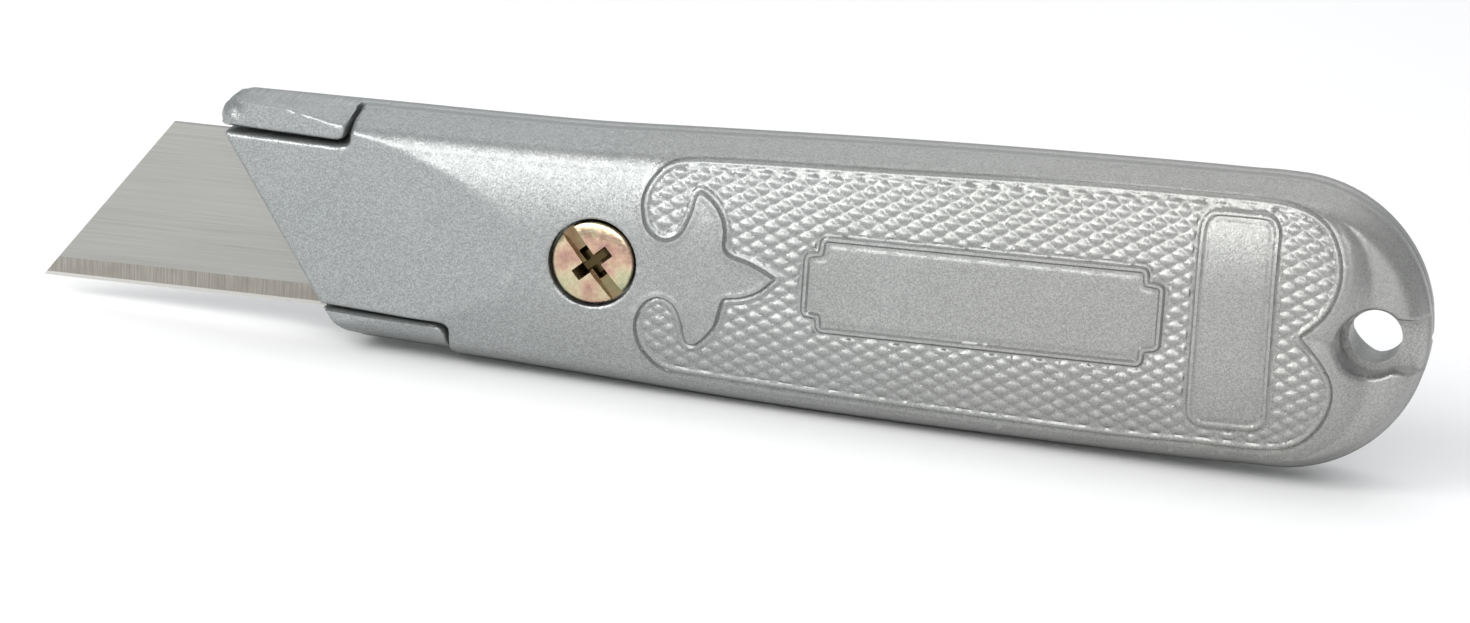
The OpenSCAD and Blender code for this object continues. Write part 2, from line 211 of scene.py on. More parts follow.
def depth(x, z):
    """Distance inside the side view of the handle."""
    r = np.hypot(x - TAIL[0], z - TAIL[1])
    side = np.minimum(spine_z(x) - z, z - belly_z(x))
    return np.where(x > TAIL[0], TAIL[2] - r, side)


# Height of the crown against depth: a table for the rounded edge, a parabola for the rest.
INNER = np.linspace(3.5, 12, 20)
EDGE_H = [-1, 0, 0.2, 0.45, 0.7, 0.95, 1.2, 1.45, 1.75, 2.1, 2.5, 3.0]
EDGE_Y = [2.38, 2.38, 2.72, 3.5, 4.33, 5.06, 5.64, 6.09, 6.5, 6.83, 7.11, 7.375]
CROWN_H = np.concatenate([EDGE_H, INNER])
CROWN_Y = np.concatenate([EDGE_Y, FULL - 2.42 * ((12 - INNER) / 10.6) ** 2])
CROWN_LEVELS = EDGE_H[2:-1]
FACET_END, FACET_DROP = 37, 4.25  # the nose facet's length, and how much thinner the nose end is


def crown(h):
    return np.interp(h, CROWN_H, CROWN_Y)


def facet(x):
    return HALF - (FACET_END - x) * (FACET_DROP / FACET_END)


def smin(a, b, k):
    """Smaller of two heights with a soft corner."""
    t = np.clip(0.5 + (b - a) / (2 * k), 0, 1)
    return b * (1 - t) + a * t - k * t * (1 - t)


def roll(d, r):
    """Drop of a rounded edge at distance d from the edge."""
    u = np.clip(r - d, 0, r)
    return r - np.sqrt(np.maximum(r * r - u * u, 0))


# Profiles across the panel's border and the plates' borders: distance inside, height.
BORDER = np.array([
    (-0.75, 0), (-0.4, 0.09), (-0.12, 0.08), (0.1, -0.29), (0.36, -0.12), (0.58, -0.18), (0.85, -0.42)])
PLATE = np.array([
    (-0.95, -0.42), (-0.68, -0.4), (-0.42, -0.02), (-0.12, -0.02), (0.1, -0.3), (0.4, -0.32),
    (0.75, -0.22)])
FRAME_LINE = np.array([
    (-0.75, -0.42), (-0.45, -0.38), (-0.2, -0.02), (0.12, 0.0), (0.36, -0.24), (0.62, -0.24),
    (0.95, -0.13)])
GRAIN_MIDDLE, GRAIN_PITCH, GRAIN_HEIGHT = (84.0, 16.6), (2.626, 1.566), 0.27


def pebbles(x, z):
    """Grain of the grip: round diamonds in staggered rows, 0 to 1."""
    across, up = x - GRAIN_MIDDLE[0], z - GRAIN_MIDDLE[1]
    u = across * math.cos(SLOPE) + up * math.sin(SLOPE)
    v = -across * math.sin(SLOPE) + up * math.cos(SLOPE)
    a, b = math.pi * u / GRAIN_PITCH[0], math.pi * v / GRAIN_PITCH[1]
    f = np.abs(np.cos(a + b) * np.cos(a - b))
    return f**0.72


def step(lo, hi, v):
    """Smooth step from 0 at lo to 1 at hi."""
    t = np.clip((v - lo) / (hi - lo), 0, 1)
    return t * t * (3 - 2 * t)


def grip(x, z):
    """Height of the grip panel over the smooth crown, and the distance inside the panel."""
    p = signed(PANEL, x, z)
    q = signed(LONG_PLATE, x, z)
    w = signed(UPRIGHT, x, z)
    off = np.interp(p, BORDER[:, 0], BORDER[:, 1])
    clear = step(0.55, 1.25, p) * step(0.7, 1.2, -q) * step(0.5, 1.0, -w)
    off = np.where(p > 0.6, off + GRAIN_HEIGHT * pebbles(x, z) * clear, off)
    off = np.where(q > PLATE[0, 0], np.interp(q, PLATE[:, 0], PLATE[:, 1]), off)
    off = np.where(w > FRAME_LINE[0, 0], np.interp(w, FRAME_LINE[:, 0], FRAME_LINE[:, 1]), off)
    return off, p


def recess(x, z):
    """Distance outside the recess round the lanyard hole and its channel."""
    ring = np.hypot(x - HOLE[0], z - HOLE[1]) - RECESS_RADIUS
    dx, dz = HOLE[0] - x, np.abs(z - HOLE[1]) - HOLE_RADIUS
    outside = np.hypot(np.maximum(dx, 0), np.maximum(dz, 0))
    channel = np.where((dx < 0) & (dz < 0), np.maximum(dx, dz), outside)
    return np.minimum(ring, channel)


# ---------------------------------------------------------------- height fields as closed meshes

GRID_X, GRID_Z = 0.21, 0.2  # spacing of the skins' grid
SNAP = 0.52 * GRID_Z  # grid points nearer than this to an outline are moved onto it
FAR_AWAY = 9.0  # farther from a level line than any point is moved
PROBE = 0.01  # step over which a field's slope is measured
FLATTEST, STEEPEST = 0.5, 60  # squared slopes of a field between which points are moved
LEAST_AREA = 2e-4
BACK_CHAMFER = (0.1, 0.12)  # inwards and along y, on the edge of a skin's back


def move_to_levels(x, z, free, levels):
    """Moves the free grid points beside a level line onto it, each point once.

    Each level is a function of x and z with the values that its lines follow."""
    for field, values in levels:
        idx = np.flatnonzero(free)
        f = field(x[idx], z[idx])
        gx = (field(x[idx] + PROBE, z[idx]) - f) / PROBE
        gz = (field(x[idx], z[idx] + PROBE) - f) / PROBE
        norm = gx * gx + gz * gz + 1e-9
        delta = np.full(f.shape, FAR_AWAY)
        for v in values:
            closer = np.abs(v - f) < np.abs(delta)
            delta[closer] = (v - f)[closer]
        reach = 0.5 * np.maximum(GRID_Z * np.abs(gz), GRID_X * np.abs(gx))
        move = (delta > -reach) & (delta <= reach) & (norm > FLATTEST) & (norm < STEEPEST)
        hit = idx[move]
        x[hit] += (delta * gx / norm)[move]
        z[hit] += (delta * gz / norm)[move]
        free[hit] = False


def grid_triangles(shape, y, state):
    """Two triangles for each cell of a grid, cut along its flatter diagonal.

    The state of a point is 1 inside the outline, 0 on it and -1 outside."""
    ids = np.arange(shape[0] * shape[1]).reshape(shape)
    a, b = ids[:-1, :-1].ravel(), ids[1:, :-1].ravel()
    c, d = ids[1:, 1:].ravel(), ids[:-1, 1:].ravel()
    use_ac = np.abs(y[a] - y[c]) <= np.abs(y[b] - y[d])
    use_ac = np.where(state[a] * state[c] < 0, False, use_ac)
    use_ac = np.where(state[b] * state[d] < 0, True, use_ac)
    tri = np.vstack([
        np.stack([a, b, c], 1)[use_ac], np.stack([a, c, d], 1)[use_ac],
        np.stack([a, b, d], 1)[~use_ac], np.stack([b, c, d], 1)[~use_ac]])
    return tri[state[tri].min(1) >= 0]


def skin(outline, thickness, levels, back):
    """Closed solid: the surface |y| = thickness over an outline, with walls down to y = back.

    The grid's points near the outline or a level line are moved onto it, so that edges stay crisp."""
    x0, z0 = outline.min(0) - 0.5
    x1, z1 = outline.max(0) + 0.5
    xs = x0 + GRID_X * np.arange(int((x1 - x0) / GRID_X) + 2)
    zs = z0 + GRID_Z * np.arange(int((z1 - z0) / GRID_Z) + 2)
    x, z = [g.ravel().copy() for g in np.meshgrid(xs, zs, indexing="ij")]
    d, px, pz, inside = nearest(outline, x, z)
    snap = d < SNAP
    state = np.where(snap, 0, np.where(inside, 1, -1))
    x[snap], z[snap] = px[snap], pz[snap]
    move_to_levels(x, z, state == 1, levels)
    y = thickness(x, z)
    tri = grid_triangles((len(xs), len(zs)), y, state)
    # A triangle with all its points on the outline may lie outside it or have no area.
    flat = state[tri].max(1) == 0
    mx, mz = x[tri].mean(1), z[tri].mean(1)
    ok = np.ones(len(tri), bool)
    ok[flat] = signed(outline, mx[flat], mz[flat]) > 0.01
    area = 0.5 * ((x[tri[:, 1]] - x[tri[:, 0]]) * (z[tri[:, 2]] - z[tri[:, 0]])
                  - (x[tri[:, 2]] - x[tri[:, 0]]) * (z[tri[:, 1]] - z[tri[:, 0]]))
    ok &= ~(flat & (np.abs(area) < LEAST_AREA))
    tri = tri[ok]
    used = np.unique(tri)
    new = np.full(len(x), -1)
    new[used] = np.arange(len(used))
    verts = np.stack([x[used], -y[used], z[used]], 1)
    return close_skin(verts, new[tri], outline, back)


def longest_loop(rim):
    """Points of the longest closed loop among the open edges."""
    follow = dict(map(tuple, rim))
    loops = []
    while follow:
        start = next(iter(follow))
        loop = [start]
        following = follow.pop(start)
        while following != start:
            loop.append(following)
            following = follow.pop(following)
        loops.append(loop)
    return max(loops, key=len)


def close_skin(verts, tri, outline, back):
    """Adds walls and a flat back to an open skin of triangles."""
    for _ in range(6):  # drops the triangles that hang on by one corner
        edges = np.concatenate([tri[:, [0, 1]], tri[:, [1, 2]], tri[:, [2, 0]]])
        key = edges.min(1).astype(np.int64) * len(verts) + edges.max(1)
        _, inverse, count = np.unique(key, return_inverse=True, return_counts=True)
        lone = count[inverse] == 1
        rim = edges[lone]
        out_degree = np.bincount(rim[:, 0], minlength=len(verts))
        bad = np.flatnonzero(out_degree > 1)
        if not len(bad):
            break
        owner = np.tile(np.arange(len(tri)), 3)
        lone_count = np.bincount(owner[lone], minlength=len(tri))
        hit = np.isin(tri, bad).any(1) & (lone_count >= 1)
        worst = hit & (lone_count == lone_count[hit].max())
        tri = tri[~worst]
    loop = longest_loop(rim)
    n = len(loop)
    p = verts[loop]
    tangent = np.roll(p, -1, 0) - np.roll(p, 1, 0)
    inward = np.stack([-tangent[:, 2], 0 * tangent[:, 0], tangent[:, 0]], 1)
    inward /= np.linalg.norm(inward, axis=1)[:, None] + 1e-9
    test = p[:, 0] + 0.05 * inward[:, 0], p[:, 2] + 0.05 * inward[:, 2]
    if (signed(outline, *test) > 0).mean() < 0.5:
        inward = -inward
    lower = p.copy()
    lower[:, 1] = back - BACK_CHAMFER[1]
    last = p + BACK_CHAMFER[0] * inward
    last[:, 1] = back
    base = len(verts)
    verts = np.vstack([verts, lower, last])
    walls = []
    for k in range(n):
        m = (k + 1) % n
        walls.append((loop[m], loop[k], base + k, base + m))
        walls.append((base + m, base + k, base + n + k, base + n + m))
    cap = [base + n + k for k in range(n)]
    return verts, [tuple(t) for t in tri.tolist()] + walls + [tuple(cap)]


def to_mesh(name, verts, faces):
    """Mesh in metres on the frame's axes, from points in mm measured from the hook's end."""
    mesh = bpy.data.meshes.new(name)
    v = np.array(verts, float)
    v[:, 0] += HOOK_END
    mesh.from_pydata((v * MM).tolist(), [], faces)
    return mesh


def add_object(name, verts, faces):
    """New object from closed parts, with its large faces cut up and its normals outwards."""
    mesh = to_mesh(name, verts, faces)
    bm = bmesh.new()
    bm.from_mesh(mesh)
    big = [f for f in bm.faces if len(f.verts) > 4]
    bmesh.ops.triangulate(bm, faces=big, ngon_method="EAR_CLIP")
    bmesh.ops.recalc_face_normals(bm, faces=bm.faces)
    if any(not e.is_manifold for e in bm.edges):
        raise RuntimeError(f"{name} isn't closed")
    bm.to_mesh(mesh)
    bm.free()
    ob = bpy.data.objects.new(name, mesh)
    bpy.context.scene.collection.objects.link(ob)
    return ob


def solid(name, data, mirror=False):
    """Object of a closed skin, on the screw side or mirrored to the hook side."""
    verts, faces = data
    return add_object(name, verts * (1, -1, 1) if mirror else verts, faces)


def prism(points, y0, y1):
    """Closed prism over a polygon in the side view."""
    n = len(points)
    verts = [(p[0], y0, p[1]) for p in points] + [(p[0], y1, p[1]) for p in points]
    faces = [tuple(range(n)), tuple(range(2 * n - 1, n - 1, -1))]
    faces += [(i, i + n, (i + 1) % n + n, (i + 1) % n) for i in range(n)]
    return verts, faces


def disc(cx, cz, r, y0, y1, steps=96):
    """Closed disc with its axis along y."""
    return prism(arc(cx, cz, r, 0, 360 - 360 / steps, steps - 1), y0, y1)


def joined(parts, name="cutter"):
    """One object holding closed parts."""
    verts, faces = [], []
    for v, f in parts:
        faces += [tuple(i + len(verts) for i in face) for face in f]
        verts += list(v)
    return add_object(name, verts, faces)


def boolean(ob, other, operation="DIFFERENCE"):
    """Cuts or joins with the other object, which is then removed."""
    mod = ob.modifiers.new("cut", "BOOLEAN")
    mod.operation, mod.solver, mod.object = operation, "MANIFOLD", other
    bpy.context.view_layer.update()
    mesh = bpy.data.meshes.new_from_object(ob.evaluated_get(bpy.context.evaluated_depsgraph_get()))
    ob.modifiers.clear()
    old = ob.data
    ob.data = mesh
    bpy.data.meshes.remove(old)
    data = other.data
    bpy.data.objects.remove(other)
    bpy.data.meshes.remove(data)
    if not len(mesh.polygons):
        raise RuntimeError(f"{ob.name}: the {operation} left nothing")
    return ob


def finish_mesh(ob, name, angle=48):
    """Names the object and shades it smooth, with sharp edges above an angle in degrees."""
    ob.name = name
    ob.data.name = name
    ob.data.shade_smooth()
    ob.data.set_sharp_from_angle(angle=math.radians(angle))
    return ob


# ---------------------------------------------------------------- thickness of the halves

GRIP_START = 48  # the panel lies behind this x
NO_LEVEL = 99.0  # a depth that no level line has
SCOOP = 2.1  # depth of the scooped tail below the crown
SCOOP_START, SCOOP_EDGE = (117, 124), (0.7, 5.2)  # along x, and out from the panel
SCOOP_FLOOR = 6.55  # the scoop cuts no lower than this height
SOFT, SOFT_HOOK = 0.12, 0.5  # softness of the nose facet's crease


def inside(poly):
    """Field of the distance inside an outline."""
    return lambda x, z: signed(poly, x, z)


def from_screw(x, z):
    """Distance outside the screw's seat."""
    return np.hypot(x - SCREW[0], z - SCREW[1]) - SEAT_RADIUS


def open_depth(x, z):
    """Depth where it is clear of the panel, whose own lines come first near its border."""
    h = depth(x, z)
    rear = x > GRIP_START
    h[rear] = np.where(signed(PANEL, x[rear], z[rear]) > -1.1, NO_LEVEL, h[rear])
    return h


def edge_drop(line, r):
    """Drop of the rounded edge of radius r along a line."""
    def drop(x, z):
        return roll(nearest(line, x, z, closed=False)[0], r)
    return drop


# Each slice is the stretch of the outline that its rounding follows.
tongue_drop = edge_drop(TONGUE[5:], 0.6)
slant_drop = edge_drop(TONGUE[:7], 0.4)
notch_drop = edge_drop(np.vstack([NOTCH, TONGUE[:1]]), 0.35)
far_nose_drop = edge_drop(FAR_NOSE[:-1], 0.5)
hook_drop = edge_drop(HOOK_UNDER, 0.5)
tip_drop = edge_drop(HOOK_UNDER[9:], 2.6)
lip_drop = edge_drop(LIP_TOP[2:], 0.35)


def body_crown(x, z):
    """Height of the smooth body, with the flat facet at its nose."""
    return smin(crown(depth(x, z)), facet(x), SOFT)


def gripped(x, z):
    """Body with its grip panel and the scooped tail round it."""
    h = body_crown(x, z)
    rear = x > GRIP_START
    off, scoop = np.zeros_like(x), np.zeros_like(x)
    off[rear], p = grip(x[rear], z[rear])
    scoop[rear] = SCOOP * step(*SCOOP_EDGE, -p) * step(*SCOOP_START, x[rear])
    soft = scoop / SCOOP
    tail = -smin(h, SCOOP_FLOOR, 0.001 + 1.8 * soft)
    return -smin(scoop - h, tail, 0.001 + 0.9 * soft) + off


def front_drop(x, z, end, drops):
    """Deepest of the drops, in front of an x that is clear of them all."""
    drop = np.zeros_like(x)
    front = x < end
    drop[front] = np.maximum.reduce([d(x[front], z[front]) for d in drops])
    return drop


def recess_drop(x, z):
    return roll(np.maximum(recess(x, z), 0), RECESS_ROLL)


def near_thickness(x, z):
    h = gripped(x, z) - front_drop(x, z, 32, [tongue_drop, slant_drop, notch_drop])
    h -= roll(np.maximum(from_screw(x, z), 0), SEAT_ROLL)
    return h - recess_drop(x, z)


def far_thickness(x, z):
    return gripped(x, z) - front_drop(x, z, 22, [far_nose_drop]) - recess_drop(x, z)


def hook_crown(x, z):
    """Depth under the spine, stretched so that the crown narrows towards the hook's end."""
    narrow = np.interp(x, [0, 5, 8, 11, 13.8, 17], [0.08, 0.10, 0.20, 0.44, 0.72, 0.82])
    return np.maximum(depth(x, z), 0) / narrow


def hook_thickness(x, z):
    h = smin(crown(hook_crown(x, z)), facet(x), SOFT_HOOK)
    return h - np.maximum(hook_drop(x, z), tip_drop(x, z))


def lip_thickness(x, z):
    h = smin(crown(np.maximum(depth(x, z) - LIP_INSET, 0)), facet(x), SOFT)
    return h - lip_drop(x, z)


RECESS_LEVELS = (recess, (0.0, 0.2, RECESS_ROLL))
SEAT_LEVELS = (from_screw, (0.0, SEAT_ROLL))
PANEL_LEVELS = [
    (inside(UPRIGHT), FRAME_LINE[:, 0]), (inside(LONG_PLATE), PLATE[:, 0]),
    (inside(PANEL), BORDER[:, 0]), (open_depth, CROWN_LEVELS)]
PARTING, ADDED_BACK = 0.0, 0.6  # y of the halves' flat backs, and of the hook's and lip's

near = solid("near", skin(NEAR, near_thickness, [RECESS_LEVELS, SEAT_LEVELS] + PANEL_LEVELS, PARTING))
far = solid("far", skin(FAR, far_thickness, [RECESS_LEVELS] + PANEL_LEVELS, PARTING), mirror=True)
hook = solid("hook", skin(HOOK, hook_thickness, [(hook_crown, CROWN_LEVELS)], ADDED_BACK))
lip = solid("lip", skin(LIP, lip_thickness, [(depth, CROWN_LEVELS)], ADDED_BACK))
boolean(far, hook, "UNION")
boolean(far, lip, "UNION")

# ---------------------------------------------------------------- inside shapes, as in the solids

PAST = 1  # y just past the parting plane
OUTSIDE, FAR_OUT = 20, 60  # y outside the handle, for the screw's and the lanyard hole's cutters
WALL, HOLLOW = 2.7, 5.4  # around the store in the side view, and its half-depth
WEB = 2.7  # half-thickness left at the lanyard hole's recess
STORE = (51.5, 119)  # x of the store for the spare blades
RIBS = [(63.5, 65.1), (83.5, 85.1), (103.5, 105.1)]
RIB_FLOOR = 0.54 + 5 * 0.73  # clears five spare blades
SHANK_HOLE, BOSS_BORE, BOSS_DEPTH, SEAT_FLOOR = 2.7, 2.48, 7.2, 6.4  # for the screw
PEGS = [(123.4, 26.7), (123.4, 7.7)]
PEG_RADIUS, PEG_LENGTH = 1.5, 1.8
SOCKET_RADIUS, SOCKET_DEPTH = 1.8, 3.3
CORING_DEPTHS = (3.4, 3.6)  # in the screw-side and the hook-side half
BLADE_TIP, BLADE_SLOPE = (-19.0, 2.2), math.radians(1.9)
BLADE_RUN, BLADE_HEIGHT, BLADE_LENGTH = 14.25, 19.05, 62.0
NOTCH_PLACES = (31 - 5.8, 31 + 5.8)  # along the blade's edge
BLADE_SEAT, BLADE_GAP = 0.375, 0.15  # depth of the blade's seat in each half, and room round the blade
LUG_POCKET, LUG_GAP = 1.5, 0.3


def at_blade(points):
    """Points given along and across the blade, moved to its place in the side view."""
    c, s = math.cos(BLADE_SLOPE), math.sin(BLADE_SLOPE)
    return [(BLADE_TIP[0] + x * c - z * s, BLADE_TIP[1] + x * s + z * c) for x, z in points]


def rectangle(cx, cz, w, h):
    return [(cx + a * w / 2, cz + b * h / 2) for a, b in ((-1, -1), (1, -1), (1, 1), (-1, 1))]


def hollow_outline(x0, x1):
    """Outline of the store between two values of x, a wall's thickness inside the handle."""
    xs = np.linspace(x0, x1, 40)
    top, bottom = spine_z(xs) - WALL, belly_z(xs[::-1]) + WALL
    return np.vstack([np.stack([xs, top], 1), np.stack([xs[::-1], bottom], 1)])


def blade_outline(gap):
    """Outline of the working blade, grown by a gap."""
    slant = math.hypot(BLADE_RUN, BLADE_HEIGHT)
    low, high = gap * (BLADE_RUN + slant) / BLADE_HEIGHT, gap * (slant - BLADE_RUN) / BLADE_HEIGHT
    top = BLADE_HEIGHT + gap
    return at_blade([
        (-low, -gap), (BLADE_LENGTH + low, -gap), (BLADE_LENGTH - BLADE_RUN + high, top),
        (BLADE_RUN - high, top)])


def lug(x, gap):
    """Outline of a lug that fills a notch of the blade, grown by a gap."""
    return at_blade(rectangle(x, BLADE_HEIGHT - 1.3 + 0.25, 2.2 + 2 * gap, 2.1 + 2 * gap))


def coring_slots(y0, y1):
    """Three slanted slots that lighten the casting ahead of the screw."""
    outline = np.array([(-3, 17.5), (1, 17.5), (6, 9), (2, 9)])
    return [prism(outline + (20 + i * 6.2, 0), y0, y1) for i in range(3)]


def hole_cutters(sign):
    """Lanyard hole, its recess and its channel, in the half on one side of the parting plane."""
    x, z = HOLE
    low, high = z - HOLE_RADIUS, z + HOLE_RADIUS
    through = sorted((-sign * PAST, sign * FAR_OUT))
    above_web = sorted((sign * WEB, sign * FAR_OUT))
    return [
        disc(x, z, HOLE_RADIUS, *through), disc(x, z, RECESS_RADIUS, *above_web),
        prism([(x, low), (140, low), (140, high), (x, high)], *above_web)]


near_cuts = hole_cutters(-1) + [
    disc(*SCREW, SEAT_RADIUS, -OUTSIDE, -SEAT_FLOOR), disc(*SCREW, SHANK_HOLE, -OUTSIDE, PAST),
    prism(hollow_outline(*STORE), -HOLLOW, PAST), prism(blade_outline(BLADE_GAP), -BLADE_SEAT, PAST)]
near_cuts += [prism(lug(x, LUG_GAP), -LUG_POCKET, PAST) for x in NOTCH_PLACES]
near_cuts += coring_slots(-CORING_DEPTHS[0], PAST + 0.2)
near_cuts += [disc(*peg, SOCKET_RADIUS, -SOCKET_DEPTH, PAST + 0.1, 32) for peg in PEGS]
for part in near_cuts:
    boolean(near, joined([part]))

for peg in PEGS:
    boolean(far, joined([disc(*peg, PEG_RADIUS, -PEG_LENGTH, PAST, 32)]), "UNION")
far_cuts = hole_cutters(1) + [
    disc(*SCREW, BOSS_BORE, -PAST, BOSS_DEPTH), prism(hollow_outline(*STORE), -PAST, RIB_FLOOR)]
bay_starts = [STORE[0]] + [rib[1] for rib in RIBS]
bay_ends = [rib[0] for rib in RIBS] + [STORE[1]]
far_cuts += [prism(hollow_outline(a, b), RIB_FLOOR - 0.3, HOLLOW) for a, b in zip(bay_starts, bay_ends)]
far_cuts += coring_slots(-PAST, CORING_DEPTHS[1])
for part in far_cuts:
    boolean(far, joined([part]))

seat = joined([prism(blade_outline(BLADE_GAP), -PAST, BLADE_SEAT)])
for x in NOTCH_PLACES:
    boolean(seat, joined([prism(lug(x, 0), -3, 3)]))
boolean(far, seat)
under_hook = at_blade([(0, 18.55), (31, 18.55), (31, 19.45), (0, 19.45)])
boolean(far, joined([prism(under_hook, -BLADE_SEAT - 0.1, 0.01)]))  # the hook clears the blade's back

near = finish_mesh(near, "grip_screw_side")
far = finish_mesh(far, "grip_hook_side")

# ---------------------------------------------------------------- screw


def lathe(profile, steps=96):
    """Closed solid of revolution about the screw's axis; profile runs from axis to axis, (radius, y)."""
    verts, faces = [], []
    rows = []
    for r, y in profile:
        if r < 1e-6:
            rows.append([len(verts)])
            verts.append((SCREW[0], y, SCREW[1]))
        else:
            rows.append(list(range(len(verts), len(verts) + steps)))
            for k in range(steps):
                a = 2 * math.pi * k / steps
                verts.append((SCREW[0] + r * math.cos(a), y, SCREW[1] + r * math.sin(a)))
    for a, b in zip(rows, rows[1:]):
        for k in range(steps):
            m = (k + 1) % steps
            if len(a) == 1:
                faces.append((a[0], b[k], b[m]))
            elif len(b) == 1:
                faces.append((a[k], b[0], a[m]))
            else:
                faces.append((a[k], b[k], b[m], a[m]))
    return verts, faces


UNDER_HEAD, DOME_BASE, TOP = -6.45, -8.45, -9.07  # y of the head's underside, of its dome and of its top
HEAD_RADIUS = 4.6
THREAD_PITCH, THREAD_OUTER, THREAD_ROOT = 0.8, 2.38, 2.0
SHANK_END = UNDER_HEAD + 11.9
dome = [
    (HEAD_RADIUS * 0.985 * math.sin(t), DOME_BASE - 0.62 * math.cos(t))
    for t in np.linspace(0.0, math.pi / 2, 16)[1:-2]]
head = [(0, TOP)] + dome + [
    (4.54, DOME_BASE), (HEAD_RADIUS, DOME_BASE + 0.2), (HEAD_RADIUS, UNDER_HEAD - 0.15), (4.5, UNDER_HEAD),
    (2.4, UNDER_HEAD), (2.1, UNDER_HEAD + 0.4)]
thread = []
for k in range(14):
    y = UNDER_HEAD + 0.9 + k * THREAD_PITCH
    thread += [(THREAD_OUTER, y), (THREAD_OUTER, y + 0.12), (THREAD_ROOT, y + 0.4), (THREAD_ROOT, y + 0.5)]
thread = [(r, y) for r, y in thread if y < SHANK_END - 0.3]
screw_end = [(1.9, SHANK_END), (1.5, SHANK_END + 0.45), (0, SHANK_END + 0.5)]
screw = joined([lathe(head + thread + screw_end)], "screw")


def turned(points, angle):
    """Points about the screw's axis, turned by an angle."""
    c, s = math.cos(angle), math.sin(angle)
    return [(SCREW[0] + x * c - z * s, SCREW[1] + x * s + z * c) for x, z in points]


TURN = math.radians(-47)
ARM, ARM_HALF_WIDTH = 2.52, 0.72  # of the cross recess
boolean(screw, joined([prism(turned(rectangle(0, 0, 12, 1.55), TURN), TOP - 2, TOP + 0.95)]))
quarter = [(ARM_HALF_WIDTH, ARM_HALF_WIDTH), (ARM_HALF_WIDTH, ARM), (-ARM_HALF_WIDTH, ARM)]
cross = np.array([
    (x * c - z * s, x * s + z * c) for c, s in ((1, 0), (0, 1), (-1, 0), (0, -1)) for x, z in quarter])
verts = [(p[0], TOP - 1.5, p[1]) for p in turned(cross * 1.25, TURN)]
verts += [(p[0], TOP + 2.1, p[1]) for p in turned(cross * 0.55, TURN)]
boolean(screw, joined([(verts, prism(cross, 0, 1)[1])]))
screw = finish_mesh(screw, "clamp_screw_detail", 32)
bevel = screw.modifiers.new("edge", "BEVEL")
bevel.width, bevel.segments = 0.12 * MM, 2
bevel.limit_method, bevel.angle_limit = "ANGLE", math.radians(38)

# ---------------------------------------------------------------- blades

BEVEL, MICRO_BEVEL = 2.3, 0.42  # heights of the ground bevel and of the fine cutting edge
HALF_BLADE = 0.325  # half of the blade's thickness


def notch(cx):
    """Outline of a notch in the blade's back, with rounded inner corners."""
    w, deep, r = 1.35, 2.6, 0.55
    angles = np.linspace(0, math.pi / 2, 5)
    floor_z = BLADE_HEIGHT - deep
    left = [(cx - w + r - r * math.cos(a), floor_z + r - r * math.sin(a)) for a in angles]
    right = [(cx + w - r + r * math.sin(a), floor_z + r - r * math.cos(a)) for a in angles]
    return [(cx - w, BLADE_HEIGHT)] + left + right + [(cx + w, BLADE_HEIGHT)]


def blade_mesh(name, origin, y_mid):
    """Trapezoid blade with ground bevel, fine edge and two notches."""
    c, s = math.cos(BLADE_SLOPE), math.sin(BLADE_SLOPE)
    verts, faces = [], []

    def place(x, y, z):
        verts.append((origin[0] + x * c - z * s, y_mid + y, origin[1] + x * s + z * c))
        return len(verts) - 1

    def ends(z):
        inset = z * (BLADE_RUN / BLADE_HEIGHT)
        return inset, BLADE_LENGTH - inset

    # Height above the cutting edge and half-thickness there, for each line along the blade.
    heights = {
        "edge": (0.0, 0.008), "micro": (MICRO_BEVEL, 0.085), "bevel": (BEVEL, HALF_BLADE - 0.015),
        "flat": (BEVEL + 0.12, HALF_BLADE)}
    keys = list(heights)
    left_top, right_top = [(x, BLADE_HEIGHT) for x in ends(BLADE_HEIGHT)]
    back = [left_top] + notch(NOTCH_PLACES[0]) + notch(NOTCH_PLACES[1]) + [right_top]
    rows = {}
    for side in (-1, 1):
        for key, (z, y) in heights.items():
            rows[side, key] = [place(x, side * y, z) for x in ends(z)]
        rows[side, "top"] = [place(x, side * HALF_BLADE, z) for x, z in back]
    for side in (-1, 1):
        for a, b in zip(keys, keys[1:] + ["top"]):
            strip = rows[side, a] + rows[side, b][::-1]
            faces.append(tuple(strip[::-side]))
    for end in (0, -1):
        outline = [rows[-1, k][end] for k in keys + ["top"]]
        outline += [rows[1, k][end] for k in ["top"] + keys[::-1]]
        faces.append(tuple(outline if end == 0 else outline[::-1]))
    faces.append((rows[-1, "edge"][1], rows[-1, "edge"][0], rows[1, "edge"][0], rows[1, "edge"][1]))
    near_back, far_back = rows[-1, "top"], rows[1, "top"]
    for k in range(len(back) - 1):
        faces.append((near_back[k], near_back[k + 1], far_back[k + 1], far_back[k]))
    return finish_mesh(joined([(verts, faces)], name), name, 3)


SPARES = range(1, 6)
blades = {"working_blade": blade_mesh("working_blade_detail", BLADE_TIP, 0.0)}
for i in SPARES:
    lo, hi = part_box(f"spare_blade_{i}")
    tip = (lo.x / MM - HOOK_END, lo.z / MM)
    blades[f"spare_blade_{i}"] = blade_mesh(f"spare_blade_{i}_detail", tip, (lo.y + hi.y) / 2 / MM)

# ---------------------------------------------------------------- materials


